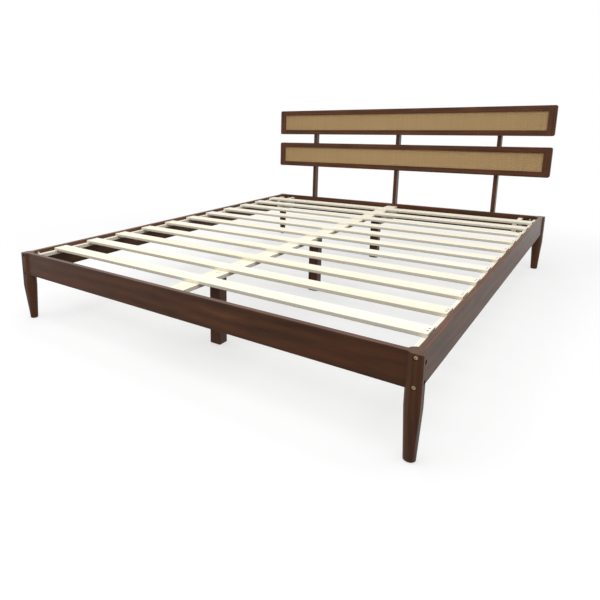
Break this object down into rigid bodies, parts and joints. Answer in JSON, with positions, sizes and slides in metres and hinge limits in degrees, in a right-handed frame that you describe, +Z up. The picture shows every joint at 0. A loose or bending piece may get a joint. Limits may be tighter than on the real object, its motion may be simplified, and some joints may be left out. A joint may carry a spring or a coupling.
{
  "type": "rattan headboard bed",
  "caption": "Low slatted wooden bed frame with tapered legs, a centre beam on square legs, and a headboard of stacked long rattan panels on posts behind the head rail.",
  "frame": {"origin": "on the floor, under the middle of the whole length and width", "axes": "+X to the right as seen from the foot, +Y from the foot to the headboard, +Z up"},
  "size_m": [1.613, 2.142, 0.863],
  "materials": {
    "walnut_stained_wood": "satin lacquer",
    "pine_wood": "planed, unfinished",
    "rattan": "woven, matte",
    "plywood": "matte",
    "brass_plated_steel": "satin",
    "black_steel": "satin",
    "zinc_plated_steel": "satin",
    "black_nylon": "matte"
  },
  "bodies": {
    "root": {"leg_foot_left": "walnut_stained_wood", "leg_foot_right": "walnut_stained_wood", "leg_head_left": "walnut_stained_wood", "leg_head_right": "walnut_stained_wood", "side_rail_left": "walnut_stained_wood", "side_rail_right": "walnut_stained_wood", "foot_rail": "walnut_stained_wood", "head_rail": "walnut_stained_wood", "centre_leg_foot": "walnut_stained_wood", "centre_leg_middle": "walnut_stained_wood", "centre_leg_head": "walnut_stained_wood", "headboard_post_left": "walnut_stained_wood", "headboard_post_centre": "walnut_stained_wood", "headboard_post_right": "walnut_stained_wood", "upper_panel_top_rail": "walnut_stained_wood", "upper_panel_bottom_rail": "walnut_stained_wood", "upper_panel_stile_left": "walnut_stained_wood", "upper_panel_stile_right": "walnut_stained_wood", "lower_panel_top_rail": "walnut_stained_wood", "lower_panel_bottom_rail": "walnut_stained_wood", "lower_panel_stile_left": "walnut_stained_wood", "lower_panel_stile_right": "walnut_stained_wood", "slat_01": "pine_wood", "slat_02": "pine_wood", "slat_03": "pine_wood", "slat_04": "pine_wood", "slat_05": "pine_wood", "slat_06": "pine_wood", "slat_07": "pine_wood", "slat_08": "pine_wood", "slat_09": "pine_wood", "slat_10": "pine_wood", "slat_11": "pine_wood", "slat_ledger_left": "pine_wood", "slat_ledger_right": "pine_wood", "centre_beam": "pine_wood", "beam_cleat": "pine_wood", "head_bearer_left": "pine_wood", "head_bearer_centre": "pine_wood", "head_bearer_right": "pine_wood", "upper_rattan": "rattan", "lower_rattan": "rattan", "upper_backing_board": "plywood", "lower_backing_board": "plywood", "side_rail_bolts": "brass_plated_steel", "end_rail_bolts": "black_steel", "post_bolts": "black_steel", "panel_screws": "black_steel", "side_rail_barrel_nuts": "zinc_plated_steel", "end_rail_barrel_nuts": "zinc_plated_steel", "post_inserts": "zinc_plated_steel", "slat_screws": "zinc_plated_steel", "ledger_screws": "zinc_plated_steel", "centre_leg_screws": "zinc_plated_steel", "cleat_screws": "zinc_plated_steel", "bearer_screws": "zinc_plated_steel", "leg_glides": "black_nylon", "centre_leg_glides": "black_nylon"}
  },
  "joints": []
}
